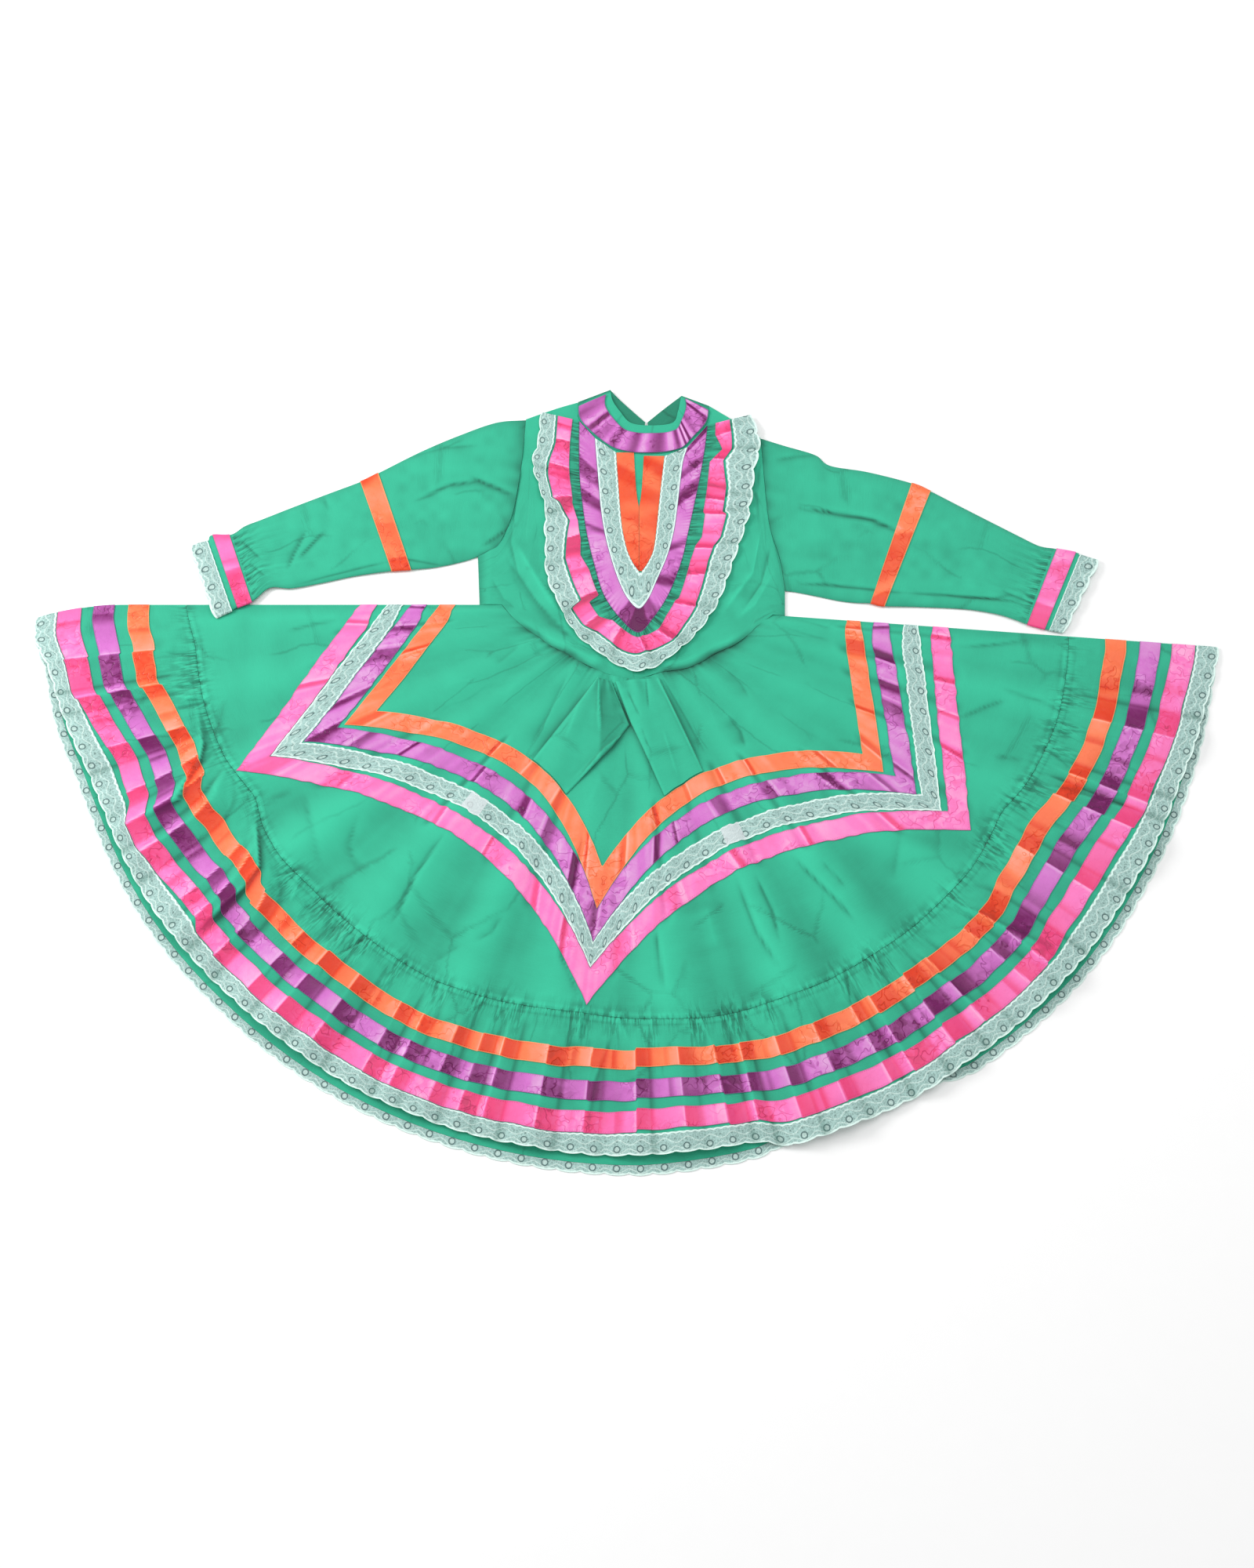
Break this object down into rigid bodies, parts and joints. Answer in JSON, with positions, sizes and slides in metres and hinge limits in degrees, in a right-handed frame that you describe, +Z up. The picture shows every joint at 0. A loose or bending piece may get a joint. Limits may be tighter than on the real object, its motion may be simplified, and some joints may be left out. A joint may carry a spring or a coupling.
{
  "type": "folklorico dress",
  "caption": "Girl's long-sleeved folklorico dress laid flat, with a fanned skirt, gathered hem ruffle, satin ribbons, lace, a V-shaped bib and a stand collar.",
  "frame": {"origin": "on the floor at the centre of the skirt's circle, under the middle of the waist", "axes": "+Y towards the collar, -Y towards the hem, +X to the right of the picture, +Z up from the floor through the front of the dress"},
  "size_m": [1.4921, 1.0442, 0.0175],
  "materials": {
    "green": "matt woven cotton blend",
    "orange": "satin ribbon",
    "purple": "satin ribbon",
    "pink": "satin ribbon",
    "lace": "scalloped net lace"
  },
  "bodies": {
    "root": {"skirt_back": "green", "skirt_front": "green", "ruffle_back": "green", "ruffle_front": "green", "bodice_back_left": "green", "bodice_back_right": "green", "bodice_front": "green", "sleeve_left": "green", "sleeve_right": "green", "collar": "green", "bib_ruffle": "green", "tie_left": "green", "tie_right": "green", "ruffle_ribbon_orange": "orange", "star_ribbon_orange": "orange", "armband_left": "orange", "armband_right": "orange", "bib_insert_left": "orange", "bib_insert_right": "orange", "ruffle_ribbon_purple": "purple", "star_ribbon_purple": "purple", "collar_ribbon": "purple", "bib_ribbon_purple": "purple", "ruffle_ribbon_pink": "pink", "star_ribbon_pink": "pink", "cuff_ribbon_left": "pink", "cuff_ribbon_right": "pink", "bib_ribbon_pink": "pink", "hem_lace_back": "lace", "hem_lace_front": "lace", "star_lace": "lace", "cuff_lace_left": "lace", "cuff_lace_right": "lace", "bib_lace_inner": "lace", "bib_lace_outer": "lace"}
  },
  "joints": []
}
